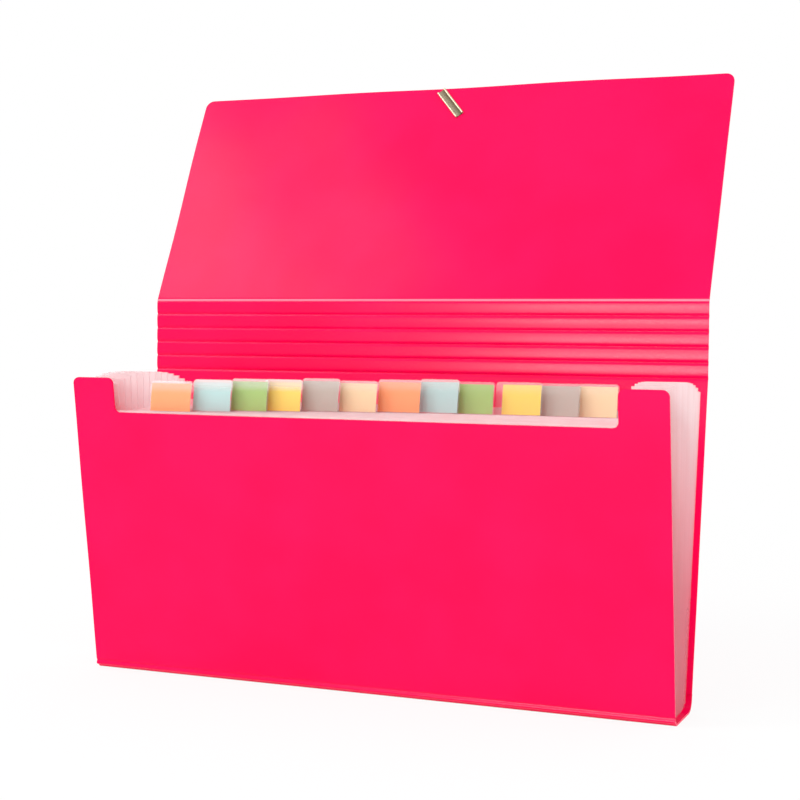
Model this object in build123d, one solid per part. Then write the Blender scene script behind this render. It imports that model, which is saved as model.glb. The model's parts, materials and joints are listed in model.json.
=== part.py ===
from build123d import *

import os
from math import atan, cos, degrees, radians, sin, tan

# Accordion file folder in its own frame, in millimetres: +X to the right, +Y away from
# the viewer, +Z up. The origin lies on the flat bottom of the spine, midway between the
# cover's two bottom creases.

# Cover, one creased polypropylene sheet
COVER_WIDTH = 260.0
COVER_SHEET = 0.8
BOTTOM_DEPTH = 29.5
FRONT_CREASE_Z = 3.4
BACK_CREASE_Z = 6.4
FRONT_HEIGHT = 127.6
FRONT_LEAN = 8.4
BACK_HEIGHT = 127.6
BACK_LEAN = 9.4
SPINE_TOE = 2.2
SPINE_TOE_RADIUS = 1.6
SPINE_HEEL_RADIUS = 3.4
NOTCH_DEPTH = 15.0
EAR_WIDTH = 19.6
EAR_RADIUS = 2.8
NOTCH_RADIUS = 2.5

# Creases: each sheet stops short of the fold's axis and is thinned to a lip
CREASE_GAP = 0.16
CREASE_BEVEL = 0.25

# Hinge band between the back panel and the flap
STRIP_COUNT = 5
STRIP_PITCH = 6.4
BAND_LEAN = 0.0
FLAP_LENGTH = 109.6
FLAP_LEAN = 25.2
FLAP_RADIUS = 4.0

# Pocket block: frosted dividers between two liners, with pleated bellows at both sides
POCKETS = 13
POCKET_FLOOR_Z = 4.0
DIVIDER_SHEET = 0.3
DIVIDER_HEIGHT = 112.5
DIVIDER_RADIUS = 2.0
LINER_SHEET = 0.3
LINER_RISE = 0.8
LINER_FOOT = 2.0
BELLOWS_SHEET = 0.3
BELLOWS_HEIGHT = 128.0
BELLOWS_INSET = 4.0
PLEAT_DEPTH = 16.5
RIM_RADIUS = 6.0
WELD_GAP = 0.3
FOLD_GAP = 0.1
TRIM_MARGIN = 0.4

# Index tabs: a folded clear sleeve over the divider's edge, with a paper label inside
TAB_MARGIN = 14.55
TAB_WIDTH = 17.8
TAB_HEIGHT = 17.0
TAB_OVERLAP = 3.5
TAB_RADIUS = 1.5
SLEEVE_FILM = 0.25
SLEEVE_SLOT = 0.5
LABEL_SHEET = 0.25
LABEL_HEIGHT = 12.2
LABEL_MARGIN = 0.5
LABEL_SEAT = 0.1

# Metal crimp of the closing elastic, on the flap's inner face
CRIMP_LENGTH = 17.6
CRIMP_WIDTH = 4.4
CRIMP_PLATE = 0.5
CRIMP_ROLL_RADIUS = 0.75
CRIMP_EDGE_DISTANCE = 8.3
CRIMP_TILT = 40.0

FRONT_Y = -BOTTOM_DEPTH / 2
BACK_Y = BOTTOM_DEPTH / 2
WALL_STACK = COVER_SHEET / 2 + LINER_SHEET + FOLD_GAP + BELLOWS_SHEET / 2


def leaning_plane(y, z, lean):
    """Plane of a sheet that starts at (y, z): local x is +X, local y runs up the sheet,
    local z faces the viewer. A positive lean tips the sheet towards the viewer."""
    normal = (0, -cos(radians(lean)), -sin(radians(lean)))
    return Plane(origin=(0, y, z), x_dir=(1, 0, 0), z_dir=normal)


def up_the_sheet(y, z, lean, length):
    """The point that lies length up a sheet which starts at (y, z)."""
    return y - length * sin(radians(lean)), z + length * cos(radians(lean))


def fan_slope(share):
    """Forward slope of a pocket wall, from the front liner (0) to the back liner (1)."""
    return (1 - share) * tan(radians(FRONT_LEAN)) - share * tan(radians(BACK_LEAN))


def fan_y(share, z):
    """Depth of a pocket wall at height z."""
    front = FRONT_Y + WALL_STACK / cos(radians(FRONT_LEAN))
    front -= (z - FRONT_CREASE_Z) * tan(radians(FRONT_LEAN))
    back = BACK_Y - WALL_STACK / cos(radians(BACK_LEAN))
    back += (z - BACK_CREASE_Z) * tan(radians(BACK_LEAN))
    return (1 - share) * front + share * back


def fan_plane(share):
    """Plane of a pocket wall, starting at the pocket floor."""
    y = fan_y(share, POCKET_FLOOR_Z)
    return leaning_plane(y, POCKET_FLOOR_Z, degrees(atan(fan_slope(share))))


def block(width, low, high, centre=0.0):
    """Flat outline of a sheet between two heights."""
    return Pos(centre, (low + high) / 2) * Rectangle(width, high - low)


def round_top(outline, radius):
    """The outline with its two upper corners rounded."""
    return fillet(outline.vertices().sort_by(Axis.Y)[-2:], radius)


def sheet(outline, thickness):
    """The outline as a sheet, half its thickness on each side."""
    return extrude(outline, amount=thickness / 2, both=True)


def bevel_low(panel):
    """The panel with the lower edge thinned to the crease lip."""
    return chamfer(panel.edges().filter_by(Axis.X).sort_by(Axis.Y)[:2], CREASE_BEVEL)


def bevel_high(panel):
    """The panel with the upper edge thinned to the crease lip."""
    return chamfer(panel.edges().filter_by(Axis.X).sort_by(Axis.Y)[-2:], CREASE_BEVEL)


def front_panel():
    """Panel with a wide finger notch between two ears, creased along its lower edge."""
    side = COVER_WIDTH / 2
    notch_side = side - EAR_WIDTH
    notch_edge = FRONT_HEIGHT - NOTCH_DEPTH
    right = [(side, CREASE_GAP), (side, FRONT_HEIGHT), (notch_side, FRONT_HEIGHT), (notch_side, notch_edge)]
    left = [(-x, y) for x, y in reversed(right)]
    outline = make_face(Polyline(*right, *left, close=True))
    outline = fillet(outline.vertices().group_by(Axis.Y)[1], NOTCH_RADIUS)
    outline = fillet(outline.vertices().group_by(Axis.Y)[-1], EAR_RADIUS)
    plane = leaning_plane(FRONT_Y, FRONT_CREASE_Z, FRONT_LEAN)
    return plane * bevel_low(sheet(outline, COVER_SHEET))


def spine():
    """Bottom channel: a short toe below the front crease, a flat foot and a round heel."""
    foot_z = COVER_SHEET / 2
    toe = Vector(FRONT_Y + SPINE_TOE, foot_z)
    front = Vector(FRONT_Y, FRONT_CREASE_Z)
    heel = Vector(BACK_Y, foot_z)
    back = Vector(BACK_Y, BACK_CREASE_Z)
    start = front + (toe - front).normalized() * CREASE_GAP
    end = back + (heel - back).normalized() * CREASE_GAP
    path = FilletPolyline(start, toe, heel, end, radius=[SPINE_TOE_RADIUS, SPINE_HEEL_RADIUS])
    section = Plane.YZ * trace(path, COVER_SHEET)
    channel = extrude(section, amount=COVER_WIDTH / 2, both=True)
    long_edges = channel.edges().filter_by(Axis.X)
    lips = []
    for crease in (start, end):
        point = (0, crease.X, crease.Y)
        lips += long_edges.sort_by_distance(point)[:2]
    return chamfer(lips, CREASE_BEVEL)


def back_panel():
    """Plain panel that carries the pocket block and the hinge band."""
    panel = sheet(block(COVER_WIDTH, CREASE_GAP, BACK_HEIGHT - CREASE_GAP), COVER_SHEET)
    return leaning_plane(BACK_Y, BACK_CREASE_Z, -BACK_LEAN) * bevel_high(bevel_low(panel))


def crease_place(number):
    """(y, z) of a crease of the hinge band, from 1 at the back panel upwards."""
    y, z = up_the_sheet(BACK_Y, BACK_CREASE_Z, -BACK_LEAN, BACK_HEIGHT)
    return up_the_sheet(y, z, BAND_LEAN, (number - 1) * STRIP_PITCH)


def hinge_strip(number):
    """One narrow strip of the hinge band, thinned along both creases."""
    panel = sheet(block(COVER_WIDTH, CREASE_GAP, STRIP_PITCH - CREASE_GAP), COVER_SHEET)
    y, z = crease_place(number)
    return leaning_plane(y, z, BAND_LEAN) * bevel_high(bevel_low(panel))


def flap_plane():
    """Plane of the flap, starting at the last crease."""
    y, z = crease_place(STRIP_COUNT + 1)
    return leaning_plane(y, z, -FLAP_LEAN)


def flap():
    """Closing flap with two rounded free corners."""
    outline = round_top(block(COVER_WIDTH, CREASE_GAP, FLAP_LENGTH), FLAP_RADIUS)
    return flap_plane() * bevel_low(sheet(outline, COVER_SHEET))


def cord_crimp():
    """Pressed metal channel with two rolled edges, lying slantwise on the flap."""
    roll_x = CRIMP_WIDTH / 2 - CRIMP_ROLL_RADIUS
    section = Pos(0, CRIMP_PLATE / 2) * Rectangle(2 * roll_x, CRIMP_PLATE)
    for side in (-1, 1):
        section += Pos(side * roll_x, CRIMP_ROLL_RADIUS) * Circle(CRIMP_ROLL_RADIUS)
    channel = extrude(Plane.XZ * section, amount=CRIMP_LENGTH / 2, both=True)
    place = Pos(0, FLAP_LENGTH - CRIMP_EDGE_DISTANCE, COVER_SHEET / 2)
    return flap_plane() * place * Rot(0, 0, CRIMP_TILT) * channel


def liner_width():
    """Liners reach the outer folds of the bellows."""
    return COVER_WIDTH - 2 * BELLOWS_INSET


def front_liner():
    """Frosted sheet on the inside of the front panel, just showing above the notch."""
    outline = block(liner_width(), LINER_FOOT, FRONT_HEIGHT - NOTCH_DEPTH + LINER_RISE)
    plane = leaning_plane(FRONT_Y, FRONT_CREASE_Z, FRONT_LEAN)
    return plane * Pos(0, 0, -(COVER_SHEET + LINER_SHEET) / 2) * sheet(outline, LINER_SHEET)


def back_liner():
    """Frosted sheet on the inside of the back panel."""
    outline = block(liner_width(), LINER_FOOT, BACK_HEIGHT - NOTCH_DEPTH + LINER_RISE)
    plane = leaning_plane(BACK_Y, BACK_CREASE_Z, -BACK_LEAN)
    return plane * Pos(0, 0, (COVER_SHEET + LINER_SHEET) / 2) * sheet(outline, LINER_SHEET)


def bellows_section(z):
    """Zigzag ribbon at height z: inner folds at the dividers, outer folds between them."""
    outer_x = COVER_WIDTH / 2 - BELLOWS_INSET
    inner_x = outer_x - PLEAT_DEPTH
    half = BELLOWS_SHEET / 2
    last = 2 * POCKETS
    folds = [fan_y(number / last, z) for number in range(last + 1)]
    root = PLEAT_DEPTH * half / (folds[1] - folds[0])
    outside = [(inner_x, folds[0] - half)]
    inside = [(inner_x, folds[0] + half)]
    for number in range(1, last):
        y = folds[number]
        if number % 2:
            outside += [(outer_x, y - half), (outer_x, y + half)]
            inside.append((outer_x - root, y))
        else:
            outside.append((inner_x + root, y))
            inside += [(inner_x, y - half), (inner_x, y + half)]
    outside.append((inner_x, folds[last] + half))
    inside.append((inner_x, folds[last] - half))
    outline = make_face(Polyline(*outside, *reversed(inside), close=True))
    return Pos(0, 0, z) * outline


def bellows_right():
    """Pleated side wall, fanned out towards the top, its upper edge an arc with round ends."""
    top = POCKET_FLOOR_Z + BELLOWS_HEIGHT
    low = bellows_section(POCKET_FLOOR_Z - TRIM_MARGIN)
    high = bellows_section(top + TRIM_MARGIN)
    pleats = loft([low, high], ruled=True)
    rim = []
    for share, margin in ((0, -TRIM_MARGIN), (0.5, 0), (1, TRIM_MARGIN)):
        z = POCKET_FLOOR_Z + BELLOWS_HEIGHT * cos(atan(fan_slope(share)))
        rim.append((fan_y(share, z) + margin, z))
    back_foot = (fan_y(1, POCKET_FLOOR_Z) + TRIM_MARGIN, POCKET_FLOOR_Z)
    front_foot = (fan_y(0, POCKET_FLOOR_Z) - TRIM_MARGIN, POCKET_FLOOR_Z)
    outline = make_face([ThreePointArc(*rim), Polyline(rim[-1], back_foot, front_foot, rim[0])])
    profile = Plane.YZ * round_top(outline, RIM_RADIUS)
    return pleats & extrude(profile, amount=COVER_WIDTH / 2)


def divider_width():
    """Dividers stop just short of the inner folds of both bellows."""
    return COVER_WIDTH - 2 * (BELLOWS_INSET + PLEAT_DEPTH + WELD_GAP)


def divider(number):
    """Frosted pocket wall, held by the inner folds of both bellows."""
    outline = round_top(block(divider_width(), 0, DIVIDER_HEIGHT), DIVIDER_RADIUS)
    return fan_plane(number / POCKETS) * sheet(outline, DIVIDER_SHEET)


def tab_x(number):
    """Tabs step evenly from the left on the front divider to the right on the back one."""
    reach = divider_width() - 2 * TAB_MARGIN - TAB_WIDTH
    return reach * ((number - 1) / (POCKETS - 2) - 0.5)


def tab_sleeve(number):
    """Clear film folded over the divider's edge, open at the bottom and both ends."""
    foot = DIVIDER_HEIGHT - TAB_OVERLAP
    top = foot + TAB_HEIGHT
    outline = round_top(block(TAB_WIDTH, foot, top, tab_x(number)), TAB_RADIUS)
    slot = block(2 * TAB_WIDTH, foot - TAB_OVERLAP, top - SLEEVE_FILM, tab_x(number))
    sleeve = sheet(outline, SLEEVE_SLOT + 2 * SLEEVE_FILM) - sheet(slot, SLEEVE_SLOT)
    return fan_plane(number / POCKETS) * sleeve


def tab_label(number):
    """Coloured paper slip inside the sleeve, standing on the divider's edge."""
    foot = DIVIDER_HEIGHT + LABEL_SEAT
    outline = block(TAB_WIDTH - 2 * LABEL_MARGIN, foot, foot + LABEL_HEIGHT, tab_x(number))
    return fan_plane(number / POCKETS) * sheet(outline, LABEL_SHEET)


def all_pieces():
    """Every piece of the folder by its node name."""
    pieces = {
        "front_panel": front_panel(),
        "spine": spine(),
        "back_panel": back_panel(),
        "flap": flap(),
        "cord_crimp": cord_crimp(),
        "front_liner": front_liner(),
        "back_liner": back_liner(),
        "bellows_right": bellows_right(),
    }
    pieces["bellows_left"] = mirror(pieces["bellows_right"], about=Plane.YZ)
    for number in range(1, STRIP_COUNT + 1):
        pieces[f"hinge_strip_{number}"] = hinge_strip(number)
    for number in range(1, POCKETS):
        pieces[f"divider_{number:02d}"] = divider(number)
        pieces[f"tab_sleeve_{number:02d}"] = tab_sleeve(number)
        pieces[f"tab_label_{number:02d}"] = tab_label(number)
    return pieces


os.makedirs("parts", exist_ok=True)
for node, piece in all_pieces().items():
    export_step(piece, f"parts/{node}.step")
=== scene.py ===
import json
import math

import bpy
import numpy as np
from mathutils import Matrix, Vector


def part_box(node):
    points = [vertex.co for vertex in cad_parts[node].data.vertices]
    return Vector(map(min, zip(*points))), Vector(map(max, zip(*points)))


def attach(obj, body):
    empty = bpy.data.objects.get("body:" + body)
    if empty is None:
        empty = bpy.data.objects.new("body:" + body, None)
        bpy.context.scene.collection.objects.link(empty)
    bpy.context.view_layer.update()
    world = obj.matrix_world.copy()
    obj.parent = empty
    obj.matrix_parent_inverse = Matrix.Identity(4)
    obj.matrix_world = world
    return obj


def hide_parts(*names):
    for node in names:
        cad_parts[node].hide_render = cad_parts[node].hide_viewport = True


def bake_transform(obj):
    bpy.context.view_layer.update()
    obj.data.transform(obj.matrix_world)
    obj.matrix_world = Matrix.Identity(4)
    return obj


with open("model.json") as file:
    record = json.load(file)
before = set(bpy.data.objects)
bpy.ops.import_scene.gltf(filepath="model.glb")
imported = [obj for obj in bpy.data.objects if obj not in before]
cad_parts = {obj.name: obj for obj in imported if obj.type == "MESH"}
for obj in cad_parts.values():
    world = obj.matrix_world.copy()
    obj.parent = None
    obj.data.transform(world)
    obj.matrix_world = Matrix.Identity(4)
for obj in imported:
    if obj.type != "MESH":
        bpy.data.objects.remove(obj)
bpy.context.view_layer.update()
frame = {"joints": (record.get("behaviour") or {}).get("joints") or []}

# Front cover panel
# The front of the cover, die-cut from sand-grained hot pink-red polypropylene sheet, with a wide
# finger notch between two ears. It hangs on the spine by the scored crease along its foot.
mm = 0.001
hinge = {joint["name"]: np.array(joint["pos_m"]) for joint in frame["joints"]}
front_crease = hinge["front_squeeze"]
front_low, front_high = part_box("front_panel")
cover_width = front_high.x - front_low.x
cover_sheet = 0.8 * mm
cut_edge = 0.18 * mm
crease_gap = 0.18 * mm
crease_edge = 0.08 * mm
front_lean = 8.4
front_height = 127.6 * mm
notch_depth = 15.0 * mm
notch_radius = 2.5 * mm
ear_width = 19.6 * mm
ear_radius = 2.8 * mm
foot_spread = 0.3 * mm
ripple_height = 0.10 * mm
ripple_length = 95.0 * mm
ripple_fade = 25.0 * mm
ripple_skew = 0.6
cross_ripple = (0.7, 1.3)
groove_depth = 0.28 * mm
groove_half = 1.2 * mm
groove_rows = 8
notch_columns = 13
front_rows = 17
sharp_angle = 50
cover_red = (0.93, 0.0004, 0.082, 1.0)
cover_pink = (0.96, 0.0020, 0.094, 1.0)
cover_whitened_highlight = (0.98, 0.24, 0.34, 1.0)
cover_blotch = 38 * mm
cover_wave = 9 * mm
cover_grain = 0.55 * mm
wave_relief = 0.015 * mm
grain_relief = 0.004 * mm
cover_roughness = (0.19, 0.27)
cover_gloss = 0.10


def on_sheet(foot, lean, across, up, out=0.0):
    """Points on a flat sheet that stands on a crease: across runs along X, up runs up the sheet
    and out towards the viewer. A positive lean, in degrees, tips the sheet towards the viewer."""
    tip = math.radians(lean)
    across, up, out = np.broadcast_arrays(across, up, out)
    y = foot[1] - up * math.sin(tip) - out * math.cos(tip)
    z = foot[2] + up * math.cos(tip) - out * math.sin(tip)
    return np.stack([foot[0] + across, y, z], axis=-1)


def ripple(across, up):
    """Slow waves that a thin sheet keeps from its roll: two crossing sines, flat at the crease."""
    turn = 2 * math.pi / ripple_length
    crossing = cross_ripple[0] * across - cross_ripple[1] * up
    waves = np.sin(turn * (across + ripple_skew * up)) + np.cos(turn * crossing)
    fade = np.clip(up / ripple_fade, 0, 1)
    return ripple_height * waves * fade * fade * (3 - 2 * fade)


def crease_dip(distance):
    """How far a sheet is pressed in beside a scored crease: deepest at the crease itself."""
    near = np.clip(distance / groove_half, 0, 1)
    return -groove_depth * (0.5 + 0.5 * np.cos(math.pi * near))


def rows_from_crease(length, rows, gap=crease_gap):
    """Places up a sheet from its crease: close together in the groove, then evenly spaced."""
    close = np.linspace(gap, groove_half, groove_rows)
    return np.append(close, np.linspace(groove_half, length, rows)[1:])


def arc(centre, radius, start, end, steps=9):
    """Points of an arc between two angles in degrees."""
    angle = np.radians(np.linspace(start, end, steps))
    x = centre[0] + radius * np.cos(angle)
    y = centre[1] + radius * np.sin(angle)
    return np.stack([x, y], axis=-1)


def surface(name, points, material):
    """Smooth mesh of a grid of points: each cell between two rows and two columns is a quad."""
    rows, columns = points.shape[:2]
    index = np.arange(rows * columns).reshape(rows, columns)
    corners = [index[:-1, :-1], index[:-1, 1:], index[1:, 1:], index[1:, :-1]]
    quads = np.stack(corners, axis=-1).reshape(-1, 4)
    mesh = bpy.data.meshes.new(name)
    mesh.from_pydata(points.reshape(-1, 3).tolist(), [], quads.tolist())
    mesh.polygons.foreach_set("use_smooth", np.ones(len(quads), bool))
    mesh.materials.append(material)
    piece = bpy.data.objects.new(name, mesh)
    bpy.context.scene.collection.objects.link(piece)
    return piece


def thicken(piece, thickness, edge, even=True):
    """Gives a middle surface its thickness, half on each side, and rounds its cut edges. Even keeps
    the thickness round bends, which a sharp fold in thin film doesn't need."""
    wall = piece.modifiers.new("thickness", "SOLIDIFY")
    wall.thickness = thickness
    wall.offset = 0
    wall.use_even_offset = even
    rounding = piece.modifiers.new("cut_edge", "BEVEL")
    rounding.width = edge
    rounding.segments = 2
    rounding.limit_method = "ANGLE"
    rounding.angle_limit = math.radians(sharp_angle)
    rounding.harden_normals = True


def fit(piece, body, slot, *nodes):
    """Hangs a finished piece on its body, in the place of its solids."""
    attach(piece, body)
    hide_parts(*nodes)


def new_material(name):
    """An empty Principled material: the material, its node tree and its shader."""
    material = bpy.data.materials.new(name)
    material.use_nodes = True
    return material, material.node_tree, material.node_tree.nodes["Principled BSDF"]


def add_node(tree, kind, **inputs):
    """A node with its inputs set by name, spaces written as underscores."""
    made = tree.nodes.new(kind)
    for key, value in inputs.items():
        made.inputs[key.replace("_", " ")].default_value = value
    return made


def painted(tree, name):
    """The value that each point of the piece was given, and 0 where it was given none."""
    layer = add_node(tree, "ShaderNodeAttribute")
    layer.attribute_name = name
    return layer.outputs["Fac"]


def noise(tree, grain, stretch=(1, 1, 1), detail=2.0):
    """Noise on the piece's own coordinates: grain is the size of a blotch in metres."""
    place = tree.nodes.new("ShaderNodeTexCoord")
    scale = add_node(tree, "ShaderNodeMapping", Scale=stretch)
    blotches = add_node(tree, "ShaderNodeTexNoise", Scale=1 / grain, Detail=detail)
    tree.links.new(place.outputs["Object"], scale.inputs["Vector"])
    tree.links.new(scale.outputs["Vector"], blotches.inputs["Vector"])
    return blotches.outputs["Fac"]


def spread(tree, value, low, high, start=0.35, end=0.65):
    """The middle of a noise value spread over a range."""
    limits = {"From_Min": start, "From_Max": end, "To_Min": low, "To_Max": high}
    mapped = add_node(tree, "ShaderNodeMapRange", **limits)
    tree.links.new(value, mapped.inputs["Value"])
    return mapped.outputs["Result"]


def two_colours(tree, factor, first, second):
    """A colour that goes from the first, a colour or a socket, to the second with the factor."""
    mix = tree.nodes.new("ShaderNodeMix")
    mix.data_type = "RGBA"
    from_socket, to_socket, mixed = mix.inputs[6], mix.inputs[7], mix.outputs[2]
    if isinstance(first, bpy.types.NodeSocket):
        tree.links.new(first, from_socket)
    else:
        from_socket.default_value = first
    to_socket.default_value = second
    tree.links.new(factor, mix.inputs["Factor"])
    return mixed


def bump(tree, height, depth, below=None):
    """Surface normal of a height from 0 to 1, depth metres high, laid over another one."""
    relief = add_node(tree, "ShaderNodeBump", Strength=1.0, Distance=depth)
    tree.links.new(height, relief.inputs["Height"])
    if below is not None:
        tree.links.new(below, relief.inputs["Normal"])
    return relief.outputs["Normal"]


def cover_plastic():
    """Sand-grained polypropylene: fine grain in the relief, slow blotches in colour and gloss. It
    is painted whitened along the flap crease's bead: stress whitening and a painted highlight line."""
    material, tree, shader = new_material("cover_plastic")
    blotches = noise(tree, cover_blotch)
    grain = noise(tree, cover_grain, detail=3.0)
    slow = bump(tree, noise(tree, cover_wave), wave_relief)
    tone = two_colours(tree, spread(tree, blotches, 0, 1), cover_red, cover_pink)
    # Painted highlight: where a crease's bead is painted, the colour goes to the whitened pink, a
    # bright line standing in for gloss as well as stress whitening.
    highlit_tone = two_colours(tree, painted(tree, "bent"), tone, cover_whitened_highlight)
    tree.links.new(highlit_tone, shader.inputs["Base Color"])
    tree.links.new(spread(tree, grain, *cover_roughness), shader.inputs["Roughness"])
    tree.links.new(bump(tree, grain, grain_relief, slow), shader.inputs["Normal"])
    shader.inputs["Specular IOR Level"].default_value = cover_gloss
    return material


cover_material = cover_plastic()
side = cover_width / 2
notch_side = side - ear_width
notch_edge = front_height - notch_depth
middle_across = np.linspace(0, notch_side - notch_radius, notch_columns, endpoint=False)
middle = np.stack([middle_across, np.full(notch_columns, notch_edge)], axis=-1)
notch_corner = arc((notch_side - notch_radius, notch_edge + notch_radius), notch_radius, -90, 0)
ear_inside = arc((notch_side + ear_radius, front_height - ear_radius), ear_radius, 180, 90)
ear_outside = arc((side - ear_radius, front_height - ear_radius), ear_radius, 90, 0)
right_edge = np.vstack([middle, notch_corner, ear_inside, ear_outside])
run = np.append(0, np.cumsum(np.hypot(*np.diff(right_edge, axis=0).T)))
corner_run = run[len(middle) + len(notch_corner) - 1]
right_foot = np.interp(run, [0, corner_run, run[-1]], [0, notch_side + foot_spread, side])
edge_across = np.append(-right_edge[:0:-1, 0], right_edge[:, 0])
edge_up = np.append(right_edge[:0:-1, 1], right_edge[:, 1])
foot_across = np.append(-right_foot[:0:-1], right_foot)
front_run = rows_from_crease(front_height, front_rows)[:, None]
share = (front_run - crease_gap) / (front_height - crease_gap)
panel_across = foot_across + (edge_across - foot_across) * share
panel_up = crease_gap + (edge_up - crease_gap) * share
panel_out = ripple(panel_across, panel_up) + crease_dip(panel_up)
front_points = on_sheet(front_crease, front_lean, panel_across, panel_up, panel_out)
front_sheet = surface("front_cover_sheet", front_points, cover_material)
thicken(front_sheet, cover_sheet, cut_edge)
fit(front_sheet, "front_cover", "cover_plastic", "front_panel")

# Spine
# The bottom of the cover, pressed into a shallow channel: a short toe under the front crease, a
# flat foot that the folder stands on, and a round heel up to the back crease.
bottom_depth = 29.5 * mm
back_crease_height = 6.4 * mm
back_crease = np.array([0, bottom_depth / 2, back_crease_height])
foot_z = cover_sheet / 2
spine_toe = 2.2 * mm
toe_radius = 1.6 * mm
heel_radius = 5.2 * mm
lip_height = 0.8 * mm
lip_crest = 1.1 * mm
lip_end = 2.6 * mm


def rounded_corner(before, corner, after, radius, steps=9):
    """Arc that rounds the corner between two straight runs, touching both."""
    back = (before - corner) / np.linalg.norm(before - corner)
    ahead = (after - corner) / np.linalg.norm(after - corner)
    half = math.acos(float(back @ ahead)) / 2
    inward = (back + ahead) / np.linalg.norm(back + ahead)
    centre = corner + inward * radius / math.sin(half)
    turn = np.linspace(half - math.pi / 2, math.pi / 2 - half, steps)[:, None]
    across = (ahead - back) / np.linalg.norm(ahead - back)
    return centre + radius * (across * np.sin(turn) - inward * np.cos(turn))


def along_width(profile, width, columns=2):
    """Grid of a profile in Y and Z carried along X."""
    across = np.linspace(-width / 2, width / 2, columns)
    points = np.empty((len(profile), columns, 3))
    points[:, :, 0] = across
    points[:, :, 1:] = profile[:, None, :]
    return points


def pressed_lip(distance):
    """Bead that the press leaves below the front crease: a sine squared, up to its crest and
    down again."""
    rise = np.interp(distance, [0, lip_crest, lip_end], [0, 1, 2])
    return lip_height * np.sin(math.pi / 2 * rise) ** 2


toe = np.array([front_crease[1] + spine_toe, foot_z])
heel = np.array([back_crease[1], foot_z])
toe_direction = (toe - front_crease[1:]) / np.linalg.norm(toe - front_crease[1:])
toe_outside = np.array([toe_direction[1], -toe_direction[0]])
lip_run = np.linspace(crease_gap, lip_end, 2 * groove_rows)[:, None]
lip_out = crease_dip(lip_run) + pressed_lip(lip_run)
front_lip = front_crease[1:] + toe_direction * lip_run + toe_outside * lip_out
back_lip = back_crease[1:] - np.array([0, crease_gap])
toe_bend = rounded_corner(front_crease[1:], toe, heel, toe_radius)
heel_bend = rounded_corner(toe, heel, back_lip, heel_radius)
spine_profile = np.vstack([front_lip, toe_bend, heel_bend, back_lip])
spine_channel = surface("spine_channel", along_width(spine_profile, cover_width), cover_material)
thicken(spine_channel, cover_sheet, cut_edge)
fit(spine_channel, "back_cover", "cover_plastic", "spine")

# Back cover panel
# The back of the cover, a plain sheet of the same plastic that leans back from the spine. The
# pocket block is welded to it and the hinge band grows from its upper edge.
back_lean = -9.4
back_height = 127.6 * mm
back_row_count = 13
cover_columns = 25
corner_steps = 9


def round_top(width, rows, radius, columns):
    """Grid of a sheet with two rounded upper corners, as arrays of across and up: straight rows,
    then rows that span the width which the corner arcs leave at their height."""
    corner = np.radians(np.linspace(0, 90, corner_steps))
    up = np.append(rows[:-1], rows[-1] + radius * np.sin(corner))
    corner_half = width / 2 - radius + radius * np.cos(corner)
    half = np.append(np.full(len(rows) - 1, width / 2), corner_half)
    across = half[:, None] * np.linspace(-1, 1, columns)
    return across, np.broadcast_to(up[:, None], across.shape)


def plain(width, low, high, columns, rows):
    """Grid of a sheet with square corners, as arrays of across and up."""
    return np.meshgrid(np.linspace(-width / 2, width / 2, columns), np.linspace(low, high, rows))


back_rows = back_height - rows_from_crease(back_height - crease_gap, back_row_count)[::-1]
across, up = np.meshgrid(np.linspace(-cover_width / 2, cover_width / 2, cover_columns), back_rows)
belly = ripple(across, np.minimum(up, back_height - up)) + crease_dip(back_height - up)
back_points = on_sheet(back_crease, back_lean, across, up, belly)
back_sheet = surface("back_cover_sheet", back_points, cover_material)
thicken(back_sheet, cover_sheet, cut_edge)
fit(back_sheet, "back_cover", "cover_plastic", "back_panel")

# Hinge band
# Five narrow strips between scored creases, which let the cover bend over the pockets. Each strip
# stays a little bulged towards the viewer from the scoring. The crease to the flap, which folds
# furthest, is scored wider.
strip_count = 5
strip_pitch = 6.4 * mm
strip_rows = 31
strip_crown = 0.18 * mm
strip_skew = (-0.2, -0.6, -0.4, 0.7, 0.5)
band_lean = 0.0
flap_gap = 0.56 * mm
band_creases = [hinge["band_fold"]]
band_creases += [hinge[f"band_crease_{number}"] for number in range(2, strip_count + 1)]
band_creases.append(hinge["flap_fold"])
for number in range(1, strip_count + 1):
    top_gap = flap_gap if number == strip_count else crease_gap
    across, up = plain(cover_width, crease_gap, strip_pitch - top_gap, cover_columns, strip_rows)
    height = 2 * up / strip_pitch - 1
    bulge = strip_crown * (1 - height ** 2) * (1 + strip_skew[number - 1] * height)
    bulge = bulge + crease_dip(up) + crease_dip(strip_pitch - up)
    strip_points = on_sheet(band_creases[number - 1], band_lean, across, up, bulge)
    strip = surface(f"band_strip_sheet_{number}", strip_points, cover_material)
    thicken(strip, cover_sheet, crease_edge)
    fit(strip, f"band_strip_{number}", "cover_plastic", f"hinge_strip_{number}")

# Closing flap
# The end of the cover sheet, open in the air and leaning back, with two rounded free corners. Its
# last crease lets it fold over the front.
flap_lean = -25.2
flap_length = 109.6 * mm
flap_radius = 4.0 * mm
flap_row_count = 18
flap_columns = 41
flap_crease = band_creases[-1]
flap_rows = rows_from_crease(flap_length - flap_radius, flap_row_count, flap_gap)
across, up = round_top(cover_width, flap_rows, flap_radius, flap_columns)
flap_out = 2 * ripple(across, up) + crease_dip(up)
flap_points = on_sheet(flap_crease, flap_lean, across, up, flap_out)
flap_sheet = surface("flap_sheet", flap_points, cover_material)
thicken(flap_sheet, cover_sheet, cut_edge)
fit(flap_sheet, "flap", "cover_plastic", "flap")

# Scored creases
# Where the cover folds, its sheet is pressed to a thin web between two rounded lips. The web is
# the same plastic, laid in place at its crease.
web_sheet = 0.62 * mm
web_lap = 0.32 * mm
web_edge = 0.05 * mm
web_rows = 13
flap_bead = 0.36 * mm


def sheet_direction(lean):
    """Unit vector up a sheet, in Y and Z."""
    return np.array([-math.sin(math.radians(lean)), math.cos(math.radians(lean))])


def viewer_side(direction):
    """Unit vector out of a sheet towards the viewer, from the direction up the sheet."""
    return np.array([-direction[1], direction[0]])


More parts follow.
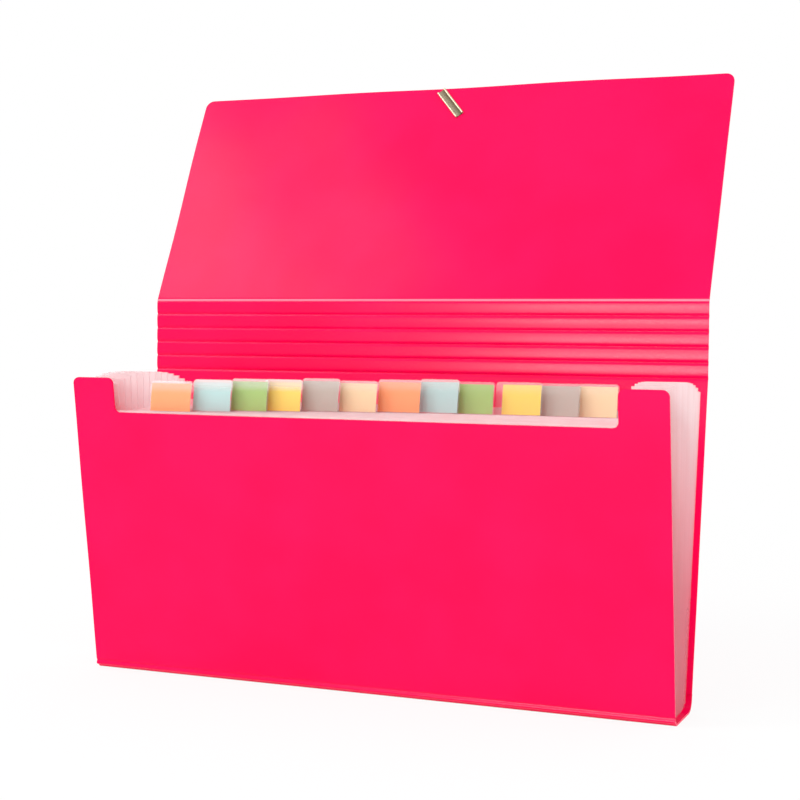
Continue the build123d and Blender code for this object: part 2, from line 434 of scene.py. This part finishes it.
def paint(piece, name, values):
    """Gives each point of a piece a value that its material reads."""
    layer = piece.data.attributes.new(name, "FLOAT", "POINT")
    layer.data.foreach_set("value", np.ravel(values).astype(np.float32))


def crease_web(name, axis, below, above, gap=crease_gap, bead=0.0):
    """Thin strip at the bottom of a crease, from inside the lower lip to inside the upper one, with
    a bead along its middle. Below and above are unit vectors in Y and Z away from the crease."""
    reach = (gap + web_lap) * np.linspace(-1, 1, web_rows)[:, None]
    profile = axis[1:] + np.where(reach < 0, -reach * below, reach * above)
    round_bead = np.maximum(1 - (reach / gap) ** 2, 0)
    out = crease_dip(np.abs(reach)) + bead * round_bead
    profile = profile + (viewer_side(-below) + viewer_side(above)) / 2 * out
    points = along_width(profile, cover_width)
    web = surface(name, points, cover_material)
    # Painted highlight: the bead's middle is painted towards the whitened pink, a bright line as
    # well as stress whitening.
    if bead > 0:
        paint(web, "bent", np.broadcast_to(round_bead, points.shape[:2]))
    thicken(web, web_sheet, web_edge)
    return web


def bending_web(name, axis, below, above, lower_body, upper_body, gap=crease_gap, bead=0.0):
    """A web baked in place at its crease. The two bodies that the crease joins are not used."""
    web = crease_web(name, axis, below, above, gap, bead)
    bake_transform(web)


front_up = sheet_direction(front_lean)
bending_web("front_crease_web", front_crease, toe_direction, front_up, "back_cover", "front_cover")
heel_down = np.array([0.0, -1.0])
back_web = crease_web("back_crease_web", back_crease, heel_down, sheet_direction(back_lean))
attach(back_web, "back_cover")
strip_bodies = [f"band_strip_{number}" for number in range(1, strip_count + 1)]
band_bodies = ["back_cover", *strip_bodies, "flap"]
band_leans = [back_lean] + [band_lean] * strip_count + [flap_lean]
for number, axis in enumerate(band_creases):
    below = -sheet_direction(band_leans[number])
    above = sheet_direction(band_leans[number + 1])
    web_name = f"band_crease_web_{number + 1}"
    bodies = band_bodies[number:number + 2]
    gap, bead = (flap_gap, flap_bead) if number == strip_count else (crease_gap, 0.0)
    bending_web(web_name, axis, below, above, *bodies, gap, bead)

# Liners
# The two end sheets of the pocket block, frosted polypropylene film welded flat to the inside of
# the front and back panels. The front one just shows above the notch.
liner_sheet = 0.3 * mm
liner_foot = 2.0 * mm
liner_rise = 0.8 * mm
film_edge = 0.06 * mm
bellows_inset = 4.0 * mm
liner_width = cover_width - 2 * bellows_inset
liner_offset = (cover_sheet + liner_sheet) / 2
frost_white = (0.78, 0.64, 0.65, 1.0)
frost_pale = (0.82, 0.71, 0.72, 1.0)
frost_red_bounce = (0.78, 0.28, 0.35, 1.0)
frost_cover = 0.40
frost_gloss = 0.3
frost_roughness = (0.45, 0.60)
frost_streak = 6 * mm
streak_stretch = (1, 1, 0.12)
frost_grain = 0.35 * mm
frost_relief = 0.006 * mm
film_columns = 21
liner_rows = 11


def let_light_by(piece):
    """Film passes nearly all the light that falls on it: it throws no shadow and dims nothing."""
    piece.visible_shadow = False
    piece.visible_diffuse = False


def frosted_plastic():
    """Frosted film: a milky veil, so that one sheet lets through over half of what lies behind it.
    Lower down and further back between the covers it is painted red: painted red light bounced from
    the covers."""
    material, tree, shader = new_material("frosted_plastic")
    streaks = noise(tree, frost_streak, stretch=streak_stretch)
    frost = noise(tree, frost_grain, detail=3.0)
    tone = two_colours(tree, spread(tree, streaks, 0, 1), frost_white, frost_pale)
    bounce_tinted = two_colours(tree, painted(tree, "blush"), tone, frost_red_bounce)
    tree.links.new(bounce_tinted, shader.inputs["Base Color"])
    tree.links.new(spread(tree, frost, *frost_roughness), shader.inputs["Roughness"])
    tree.links.new(bump(tree, frost, frost_relief), shader.inputs["Normal"])
    shader.inputs["Specular IOR Level"].default_value = frost_gloss
    shader.inputs["Alpha"].default_value = frost_cover
    return material


frosted_material = frosted_plastic()
liner_top = front_height - notch_depth + liner_rise
across, up = plain(liner_width, liner_foot, liner_top, film_columns, liner_rows)
liner_points = on_sheet(front_crease, front_lean, across, up, -liner_offset)
front_liner = surface("front_liner_film", liner_points, frosted_material)
thicken(front_liner, liner_sheet, film_edge)
let_light_by(front_liner)
fit(front_liner, "front_cover", "frosted_plastic", "front_liner")
liner_top = back_height - notch_depth + liner_rise
across, up = plain(liner_width, liner_foot, liner_top, film_columns, liner_rows)
liner_points = on_sheet(back_crease, back_lean, across, up, liner_offset)
back_liner = surface("back_liner_film", liner_points, frosted_material)
thicken(back_liner, liner_sheet, film_edge)
let_light_by(back_liner)
fit(back_liner, "back_cover", "frosted_plastic", "back_liner")

# Bellows
# The pleated sides of the pocket block: frosted film in 13 folds on each side, one for a pocket,
# welded to the pocket walls at the inner folds. They fan out between the covers.
pockets = 13
pocket_floor = 4.0 * mm
pleat_depth = 16.5 * mm
bellows_sheet = 0.3 * mm
bellows_height = 127.6 * mm
fold_gap = 0.1 * mm
fold_softness = 0.10
front_rim_drop = 6.0 * mm
rear_rim_drop = 4.0 * mm
bellows_rise = 1.4 * mm
rim_run = 2.3 * mm
pleat_splay = 1.8 * mm
bounce_top = 0.9
bounce_run = 0.6
bounce_front = 0.5
weld_share = 0.05
pleat_row_count = 25
pleat_columns = 17
wall_stack = cover_sheet / 2 + liner_sheet + fold_gap + bellows_sheet / 2
outer_fold = cover_width / 2 - bellows_inset
inner_fold = outer_fold - pleat_depth
front_slope = math.tan(math.radians(front_lean))
back_slope = math.tan(math.radians(back_lean))


def fan_slope(share):
    """Forward slope of a pocket wall, from the front liner (0) to the back liner (1)."""
    return (1 - share) * front_slope + share * back_slope


def fan_y(share, z):
    """Depth of a pocket wall at a height: straight between the two covers' inner faces."""
    front = front_crease[1] + wall_stack / math.cos(math.radians(front_lean))
    back = back_crease[1] - wall_stack / math.cos(math.radians(back_lean))
    front = front - (z - front_crease[2]) * front_slope
    back = back - (z - back_crease[2]) * back_slope
    return (1 - share) * front + share * back


def rim_z(share):
    """Height of the bellows' upper edge: an arch about the foot of the fan, cut round towards both
    ends with the cube of the distance from the middle."""
    arch = pocket_floor + bellows_height * np.cos(np.arctan(fan_slope(share)))
    drop = np.where(share < 0.5, front_rim_drop, rear_rim_drop)
    return arch - drop * np.abs(2 * share - 1) ** 3


def bellows_foot(share):
    """Height of the bellows' lower edge: close to the spine, and higher over its toe and heel."""
    return bellows_rise + (pocket_floor - bellows_rise) * (2 * share - 1) ** 4


def pleat_reach(turn):
    """How far a pleat reaches out, 0 at its inner folds and 1 at its rounded outer fold."""
    tent = np.sqrt((2 * turn - 1) ** 2 + fold_softness ** 2)
    flat = math.sqrt(1 + fold_softness ** 2)
    return (flat - tent) / (flat - fold_softness)


middle_z = (pocket_floor + bellows_height) / 2
pleat_span = pleat_depth + pleat_splay
pleat_rows = np.linspace(0, 1, pleat_row_count)[:, None]
pleat_turn = np.linspace(weld_share, 1 - weld_share, pleat_columns)
from_fold = (1 - pleat_reach(pleat_turn)) * pleat_depth
rim_turn = 0.5 + 0.5 * np.sign(pleat_turn - 0.5) * np.clip(from_fold / rim_run, 0, 1)
for hand, hand_name in ((-1, "left"), (1, "right")):
    for pocket in range(pockets):
        share = (pocket + pleat_turn) / pockets
        rim = rim_z((pocket + rim_turn) / pockets)
        z = bellows_foot(share) + (rim - bellows_foot(share)) * pleat_rows
        x = hand * (inner_fold + pleat_span * pleat_reach(pleat_turn)) + 0 * z
        points = np.stack([x, fan_y(share, z), z], axis=-1)
        pleat = surface(f"bellows_{hand_name}_pleat_{pocket + 1:02d}", points, frosted_material)
        # Painted light: each pleat is painted redder towards the bottom and towards the back,
        # standing in for red light bounced from the covers.
        rear_bounce = bounce_front + (1 - bounce_front) * share
        paint(pleat, "blush", np.clip((bounce_top - pleat_rows) / bounce_run, 0, 1) * rear_bounce)
        thicken(pleat, bellows_sheet, film_edge, even=False)
        let_light_by(pleat)
        rear_share = (pocket + 1) / pockets
        rear_point = np.array([0, float(fan_y(rear_share, middle_z)), middle_z])
        tip = math.atan(fan_slope(rear_share))
        gap = (rear_point[1] - fan_y(pocket / pockets, middle_z)) * math.cos(tip)
        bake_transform(pleat)
        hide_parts(f"bellows_{hand_name}")

# Pocket walls
# Twelve dividers of the same frosted film make the 13 pockets. Their side edges are held in the
# inner folds of the bellows, and their upper edges sag back until they lean as the back panel.
divider_sheet = 0.3 * mm
divider_height = 112.5 * mm
divider_radius = 2.0 * mm
weld_gap = 0.3 * mm
sag_foot = 104.0 * mm
sag_run = 15.0 * mm
sag_slope = 0.15
straight_rows = 8
bent_rows = 5
divider_width = 2 * (inner_fold - weld_gap)


def wall_foot(number):
    """Foot of a pocket wall's middle line, and its lean in degrees."""
    place = number / pockets
    foot = np.array([0, fan_y(place, pocket_floor), pocket_floor])
    return foot, math.degrees(math.atan(fan_slope(place)))


def sag(number, up):
    """How far a wall's upper end bends back, out of its own plane."""
    bend = (fan_slope(number / pockets) + sag_slope) / sag_run
    return -bend / 2 * np.maximum(up - sag_foot, 0) ** 2


sagging_rows = np.linspace(sag_foot, divider_height - divider_radius, bent_rows)
wall_rows = np.append(np.linspace(0, sag_foot, straight_rows, endpoint=False), sagging_rows)
for number in range(1, pockets):
    foot, lean = wall_foot(number)
    across, up = round_top(divider_width, wall_rows, divider_radius, film_columns)
    points = on_sheet(foot, lean, across, up, sag(number, up))
    divider = surface(f"pocket_wall_film_{number:02d}", points, frosted_material)
    thicken(divider, divider_sheet, film_edge)
    let_light_by(divider)
    fit(divider, f"pocket_wall_{number:02d}", "frosted_plastic", f"divider_{number:02d}")

# Index tabs
# A clear film is folded over the upper edge of each wall, stepping from the left on the front wall
# to the right on the back one. Its fold and a band below it are painted milky white: a painted
# highlight, stronger on some tabs than on others.
tab_margin = 14.55 * mm
tab_width = 17.8 * mm
tab_height = 17.0 * mm
tab_overlap = 3.5 * mm
tab_radius = 1.5 * mm
sleeve_film = 0.25 * mm
sleeve_slot = 0.5 * mm
highlight_height = 2.6 * mm
highlight_fade = 2.4 * mm
tab_reach = divider_width - 2 * tab_margin - tab_width
tab_drift = np.array([0, 1.0, 0.2, -1.9, -2.2, -2.5, -0.3, -0.8, -2.5, 1.2, 0.5, 0]) * mm
tab_extra = np.array([2.4, 1.0, 0, 0, 0, 0, 2.0, 0, 0, 2.5, 0, 0]) * mm
tab_lift = np.array([-0.9, -0.4, 0, -0.2, 0.4, -0.4, 0.4, 0.9, 0.2, 0.5, 0.5, 0.8]) * mm
tab_highlight = np.array([0.45, 1.0, 0.6, 1.0, 0.4, 0.4, 0.35, 0.5, 0.1, 0.2, 0.15, 0.2])
film_highlight_white = (0.96, 0.95, 0.94, 1.0)
film_cover = 0.06
highlight_cover = 0.32
film_gloss = 0.5
film_smear = 5 * mm
film_roughness = (0.12, 0.25)
end_steps = 7
fold_steps = 9
sleeve_rows = 18


def clear_film():
    """Clear film: see-through with a gloss on it, painted milky along a band at its top, a painted
    highlight.
    """
    material, tree, shader = new_material("clear_film")
    smear = noise(tree, film_smear)
    shader.inputs["Base Color"].default_value = film_highlight_white
    shader.inputs["Specular IOR Level"].default_value = film_gloss
    highlight_milk = spread(tree, painted(tree, "haze"), film_cover, highlight_cover, 0, 1)
    tree.links.new(highlight_milk, shader.inputs["Alpha"])
    tree.links.new(spread(tree, smear, *film_roughness), shader.inputs["Roughness"])
    return material


def tab_right(number):
    """Right edge of a tab: the tabs step evenly over the divider's width, each a little off by its
    listed drift.
    """
    even = tab_reach * ((number - 1) / (pockets - 2) - 0.5)
    return even + tab_width / 2 + tab_drift[number - 1]


def lifted(number, up):
    """Height in a tab: each tab is stretched up or down a little from its foot."""
    return up + tab_lift[number - 1] * (up - sleeve_foot) / tab_height


film_material = clear_film()
end_turn = np.radians(np.linspace(0, 90, end_steps))
end_in = tab_radius * (1 - np.sin(end_turn))
end_cut = tab_radius * (1 - np.cos(end_turn))
corner_cut = np.append(end_cut[::-1], end_cut)
fold_radius = (sleeve_slot + sleeve_film) / 2
sleeve_foot = divider_height - tab_overlap
sleeve_top = sleeve_foot + tab_height - sleeve_film / 2
fold_turn = np.radians(np.linspace(0, 180, fold_steps))
wall_rise = np.linspace(sleeve_foot, sleeve_top - fold_radius, sleeve_rows)
fold_rise = sleeve_top - fold_radius + fold_radius * np.sin(fold_turn)
sleeve_rise = np.concatenate([wall_rise[:-1], fold_rise, wall_rise[-2::-1]])
side_out = np.full(len(wall_rise) - 1, fold_radius)
sleeve_out = np.concatenate([side_out, fold_radius * np.cos(fold_turn), -side_out])
highlight_rise = np.clip((sleeve_rise - sleeve_top + highlight_height + highlight_fade) / highlight_fade, 0, 1)
for number in range(1, pockets):
    foot, lean = wall_foot(number)
    width = tab_width + tab_extra[number - 1]
    left, right = tab_right(number) - width, tab_right(number)
    sleeve_across = np.append(left + end_in[::-1], right - end_in)
    lowered = (sleeve_rise - sleeve_foot)[:, None] / tab_height * corner_cut
    rise = lifted(number, sleeve_rise[:, None] - lowered)
    points = on_sheet(foot, lean, sleeve_across, rise, sleeve_out[:, None] + sag(number, rise))
    sleeve = surface(f"tab_sleeve_film_{number:02d}", points, film_material)
    # Painted highlight: a milky band below each sleeve's fold, with its strength given per tab.
    paint(sleeve, "haze", np.repeat(highlight_rise * tab_highlight[number - 1], len(sleeve_across)))
    thicken(sleeve, sleeve_film, film_edge)
    fit(sleeve, f"pocket_wall_{number:02d}", "clear_film", f"tab_sleeve_{number:02d}")

# Tab labels
# A slip of dyed, uncoated paper stands on the wall's edge inside each sleeve, which holds it. Six
# colours come twice. One slip is narrower than its sleeve.
label_sheet = 0.25 * mm
label_height = 12.2 * mm
label_margin = 0.5 * mm
label_seat = 0.1 * mm
label_corner = 0.3 * mm
label_fade = 0.06
loose_label = 10
label_grid = 9
label_fibre = 0.5 * mm
fibre_stretch = (1, 1, 3)
fibre_relief = 0.01 * mm
paper_roughness = 0.85
paper_gloss = 0.2
label_colours = {
    "orange": (0.97, 0.32, 0.067, 1.0),
    "blue": (0.42, 0.68, 0.66, 1.0),
    "green": (0.31, 0.54, 0.088, 1.0),
    "yellow": (0.95, 0.70, 0.044, 1.0),
    "grey": (0.46, 0.41, 0.34, 1.0),
    "beige": (0.88, 0.68, 0.37, 1.0),
}


def label_paper(name, colour):
    """Uncoated dyed paper: short fibres in the relief and in the tone."""
    material, tree, shader = new_material(f"label_{name}")
    fibres = noise(tree, label_fibre, stretch=fibre_stretch, detail=4.0)
    faded = tuple(part + label_fade * (1 - part) for part in colour)
    tone = two_colours(tree, spread(tree, fibres, 0, 1), colour, faded)
    tree.links.new(tone, shader.inputs["Base Color"])
    tree.links.new(bump(tree, fibres, fibre_relief), shader.inputs["Normal"])
    shader.inputs["Roughness"].default_value = paper_roughness
    shader.inputs["Specular IOR Level"].default_value = paper_gloss
    return material


label_materials = {name: label_paper(name, colour) for name, colour in label_colours.items()}
colour_order = list(label_colours)
label_low = divider_height + label_seat
label_rows = np.linspace(label_low, label_low + label_height - label_corner, label_grid)
for number in range(1, pockets):
    colour = colour_order[(number - 1) % len(colour_order)]
    foot, lean = wall_foot(number)
    width = tab_width - 2 * label_margin
    if number != loose_label:
        width = width + tab_extra[number - 1]
    across, up = round_top(width, label_rows, label_corner, label_grid)
    up = lifted(number, up)
    middle_x = tab_right(number) - label_margin - width / 2
    points = on_sheet(foot, lean, middle_x + across, up, sag(number, up))
    label = surface(f"tab_label_paper_{number:02d}", points, label_materials[colour])
    thicken(label, label_sheet, film_edge)
    fit(label, f"pocket_wall_{number:02d}", f"label_{colour}", f"tab_label_{number:02d}")

# Cord crimp
# The pressed metal crimp of the closing elastic, on the flap's inner face at its upper edge: a
# plated channel whose two long edges are rolled inwards, lying slantwise.
crimp_length = 17.6 * mm
crimp_width = 4.4 * mm
crimp_plate = 0.30 * mm
crimp_roll = 0.36 * mm
crimp_edge_distance = 8.3 * mm
crimp_tilt = math.radians(40.0)
crimp_edge = 0.08 * mm
roll_turn = 290
roll_steps = 25
floor_columns = 9
crimp_rows = 25
trough_shade_fade = 4.0
trough_reflection_lift = 0.26
brass_bright = (0.60, 0.53, 0.39, 1.0)
brass_trough_shade = (0.075, 0.050, 0.022, 1.0)
brass_scratch = 0.25 * mm
scratch_stretch = (1, 1, 0.2)
scratch_relief = 0.012 * mm
brass_roughness = (0.22, 0.42)


def crimp_metal():
    """Plated brass with drawn scratches, bright on the rolls. The trough is painted dark, a painted
    shade and dark reflection, and lighter towards one roll as a painted reflection.
    """
    material, tree, shader = new_material("crimp_metal")
    scratches = noise(tree, brass_scratch, stretch=scratch_stretch, detail=4.0)
    tone = two_colours(tree, painted(tree, "trough"), brass_bright, brass_trough_shade)
    tree.links.new(tone, shader.inputs["Base Color"])
    tree.links.new(spread(tree, scratches, *brass_roughness), shader.inputs["Roughness"])
    tree.links.new(bump(tree, scratches, scratch_relief), shader.inputs["Normal"])
    shader.inputs["Metallic"].default_value = 1.0
    return material


roll_x = crimp_width / 2 - crimp_roll - crimp_plate / 2
roll_z = crimp_roll + crimp_plate / 2
left_roll = arc((-roll_x, roll_z), crimp_roll, -90 - roll_turn, -90, roll_steps)
right_roll = arc((roll_x, roll_z), crimp_roll, -90, roll_turn - 90, roll_steps)
floor_across = np.linspace(-roll_x, roll_x, floor_columns)[1:-1]
floor_line = np.stack([floor_across, np.full(len(floor_across), crimp_plate / 2)], axis=-1)
crimp_profile = np.vstack([left_roll, floor_line, right_roll])
run_along = np.linspace(-crimp_length / 2, crimp_length / 2, crimp_rows)[:, None]
crimp_across = crimp_profile[:, 0] * math.cos(crimp_tilt) - run_along * math.sin(crimp_tilt)
crimp_up = crimp_profile[:, 0] * math.sin(crimp_tilt) + run_along * math.cos(crimp_tilt)
crimp_up = crimp_up + flap_length - crimp_edge_distance
crimp_out = cover_sheet / 2 + crimp_profile[:, 1] + 0 * run_along
crimp_points = on_sheet(flap_crease, flap_lean, crimp_across, crimp_up, crimp_out)
crimp = surface("cord_crimp_channel", crimp_points, crimp_metal())
# Painted shade and reflection: the trough between the rolls is painted dark, and lighter towards
# one roll.
trough_shade_mask = np.clip((1 - np.abs(crimp_profile[:, 0]) / roll_x) * trough_shade_fade, 0, 1)
trough_reflection_tone = 1 - trough_reflection_lift * (1 - crimp_profile[:, 0] / roll_x)
trough_shade_mask = trough_shade_mask * trough_reflection_tone * (crimp_profile[:, 1] < roll_z)
paint(crimp, "trough", np.tile(trough_shade_mask, len(run_along)))
thicken(crimp, crimp_plate, crimp_edge)
fit(crimp, "flap", "crimp_metal", "cord_crimp")

# Floor and light
# A plain white floor that runs on into a white surround, one large soft light from the upper left,
# a wide one in front, a weak one from the right, and a card that only shows in the band's gloss.
floor_reach = 6.0
floor_white = (0.92, 0.92, 0.92, 1.0)
floor_glow = 0.88
floor_roughness = 0.9
shadow_near = 0.20
shadow_far = 0.75
surround_light = 0.92


def seen_directly(tree):
    """1 for rays from the camera and for reflections and refractions of the surround."""
    path = tree.nodes.new("ShaderNodeLightPath")
    total = path.outputs["Is Camera Ray"]
    for ray in ("Is Glossy Ray", "Is Transmission Ray"):
        more = tree.nodes.new("ShaderNodeMath")
        more.operation = "MAXIMUM"
        tree.links.new(total, more.inputs[0])
        tree.links.new(path.outputs[ray], more.inputs[1])
        total = more.outputs[0]
    return total


def floor_material():
    """White floor that reads as the surround, with a soft shadow close to what stands on it."""
    material, tree, shader = new_material("floor_white")
    shader.inputs["Base Color"].default_value = floor_white
    shader.inputs["Roughness"].default_value = floor_roughness
    shader.inputs["Specular IOR Level"].default_value = 0.0
    place = tree.nodes.new("ShaderNodeTexCoord")
    away = tree.nodes.new("ShaderNodeVectorMath")
    away.operation = "LENGTH"
    tree.links.new(place.outputs["Object"], away.inputs[0])
    share = tree.nodes.new("ShaderNodeMath")
    share.operation = "MULTIPLY"
    tree.links.new(seen_directly(tree), share.inputs[0])
    glow_share = spread(tree, away.outputs["Value"], floor_glow, 1.0, shadow_near, shadow_far)
    tree.links.new(glow_share, share.inputs[1])
    glow = add_node(tree, "ShaderNodeEmission", Strength=1.0)
    mix = tree.nodes.new("ShaderNodeMixShader")
    tree.links.new(share.outputs[0], mix.inputs["Fac"])
    tree.links.new(shader.outputs["BSDF"], mix.inputs[1])
    tree.links.new(glow.outputs["Emission"], mix.inputs[2])
    tree.links.new(mix.outputs["Shader"], tree.nodes["Material Output"].inputs["Surface"])
    return material


ground = np.linspace(-floor_reach, floor_reach, 2)
ground_x, ground_y = np.meshgrid(ground, ground)
ground_points = np.stack([ground_x, ground_y, 0 * ground_x], axis=-1)
floor_sheet = surface("floor", ground_points, floor_material())

world = bpy.data.worlds.new("surround")
world.use_nodes = True
bpy.context.scene.world = world
world_tree = world.node_tree
surround = world_tree.nodes["Background"]
surround.inputs["Color"].default_value = (1.0, 1.0, 1.0, 1.0)
world_level = spread(world_tree, seen_directly(world_tree), surround_light, 1.0, 0, 1)
world_tree.links.new(world_level, surround.inputs["Strength"])


def soft_light(name, place, aim, width, height, power, only_gloss=False):
    """Rectangular soft light at a place, turned towards a point. A card for gloss is only seen
    mirrored."""
    lamp = bpy.data.lights.new(name, "AREA")
    lamp.shape = "RECTANGLE"
    lamp.size = width
    lamp.size_y = height
    lamp.energy = power
    holder = bpy.data.objects.new(name, lamp)
    holder.visible_diffuse = not only_gloss
    bpy.context.scene.collection.objects.link(holder)
    offset = np.array(aim) - np.array(place)
    yaw = math.atan2(-offset[0], offset[1])
    pitch = math.atan2(offset[2], math.hypot(offset[0], offset[1]))
    turn = Matrix.Rotation(yaw, 4, "Z") @ Matrix.Rotation(pitch + math.pi / 2, 4, "X")
    holder.matrix_world = Matrix.Translation(place) @ turn


folder_middle = (0, 0, 0.15)
folder_low = (0, 0, 0.10)
soft_light("key_light", (-1.2, -0.95, 1.4), folder_middle, width=0.72, height=0.72, power=10.5)
soft_light("front_light", (-0.15, -1.6, 0.5), folder_middle, width=1.0, height=0.5, power=4.5)
card = {"width": 0.40, "height": 0.22, "power": 9.5}
soft_light("gloss_card", (-0.15, -1.15, 0.15), folder_middle, **card, only_gloss=True)
soft_light("right_light", (1.15, -0.30, 0.55), folder_low, width=0.60, height=0.60, power=2.2)

# Camera
# Where the photograph was taken from: about 0.65 m away, to the right and a little above.
camera_place = (0.2601, -0.60455, 0.1489)
camera_yaw = math.radians(22.58)
camera_pitch = math.radians(-2.36)
camera_roll = math.radians(-0.54)
camera_lens = 70.7
camera_sensor = 36.0
camera_near = 0.01
camera = bpy.data.objects.new("camera", bpy.data.cameras.new("camera"))
camera.data.lens = camera_lens
camera.data.sensor_width = camera_sensor
camera.data.clip_start = camera_near
bpy.context.scene.collection.objects.link(camera)
aim = Matrix.Rotation(camera_yaw, 4, "Z") @ Matrix.Rotation(camera_pitch, 4, "X")
aim = aim @ Matrix.Rotation(camera_roll, 4, "Y") @ Matrix.Rotation(math.pi / 2, 4, "X")
camera.matrix_world = Matrix.Translation(camera_place) @ aim
bpy.context.scene.camera = camera
bpy.context.scene.view_settings.view_transform = "Standard"
